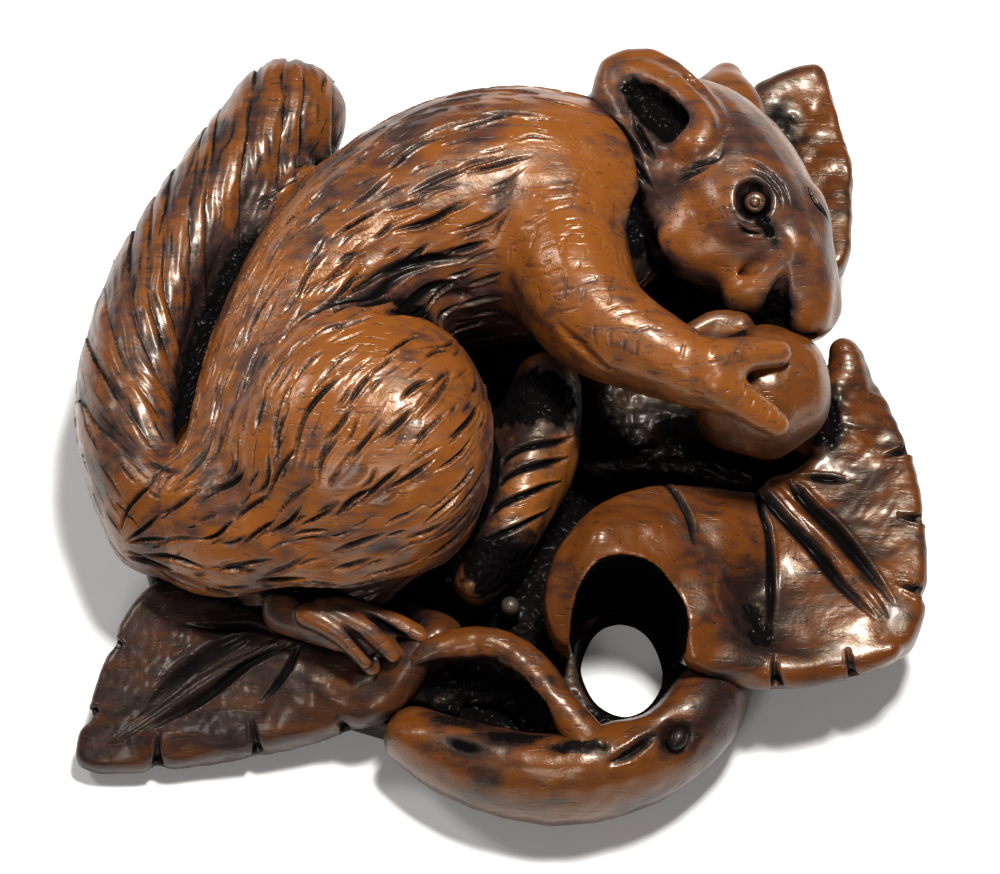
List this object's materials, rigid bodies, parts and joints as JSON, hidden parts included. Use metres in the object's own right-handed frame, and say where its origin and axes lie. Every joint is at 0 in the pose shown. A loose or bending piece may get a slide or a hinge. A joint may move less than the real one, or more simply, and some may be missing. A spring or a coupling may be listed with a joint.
{
  "type": "carved squirrel toggle",
  "caption": "Small carved wooden toggle: a curled squirrel gnawing a nut on rolled leaves and a stem, with a slanted cord hole.",
  "frame": {"origin": "on the flat back, under the middle of the carving", "axes": "+Z out of the carved side, away from the flat back; +Y towards the animal's back; +X towards its nose and the right-hand leaf"},
  "size_m": [0.0593, 0.0584, 0.0224],
  "materials": {
    "fur_wood": "lacquered orange-brown, dark patina in the fur strokes",
    "head_wood": "lacquered brown, darker round brow and cheek",
    "tail_wood": "lacquered dark brown with near-black grooves",
    "nut_wood": "smooth glossy amber-brown",
    "leg_wood": "glossy dark brown, black grooves",
    "brown_leaf_wood": "satin to glossy dark red-brown, orange worn rim",
    "grey_leaf_wood": "satin purple-grey brown, orange worn rim",
    "stem_wood": "satin orange-brown with black hollows",
    "black_ground": "glossy near-black stippled ground",
    "eye_gloss": "glossy dark brown",
    "bud_grey": "glossy grey-brown"
  },
  "bodies": {
    "root": {"torso": "fur_wood", "haunch": "fur_wood", "near_arm": "fur_wood", "head": "head_wood", "near_ear": "head_wood", "far_ear": "head_wood", "far_paw": "head_wood", "hind_foot": "head_wood", "tail": "tail_wood", "nut": "nut_wood", "far_leg": "leg_wood", "right_leaf": "brown_leaf_wood", "upper_leaf": "brown_leaf_wood", "left_leaf": "grey_leaf_wood", "twig": "stem_wood", "curled_leaf": "stem_wood", "leaf_bed": "black_ground", "leaf_stem": "black_ground", "twig_knot": "black_ground", "eye": "eye_gloss", "bud": "bud_grey"}
  },
  "joints": []
}
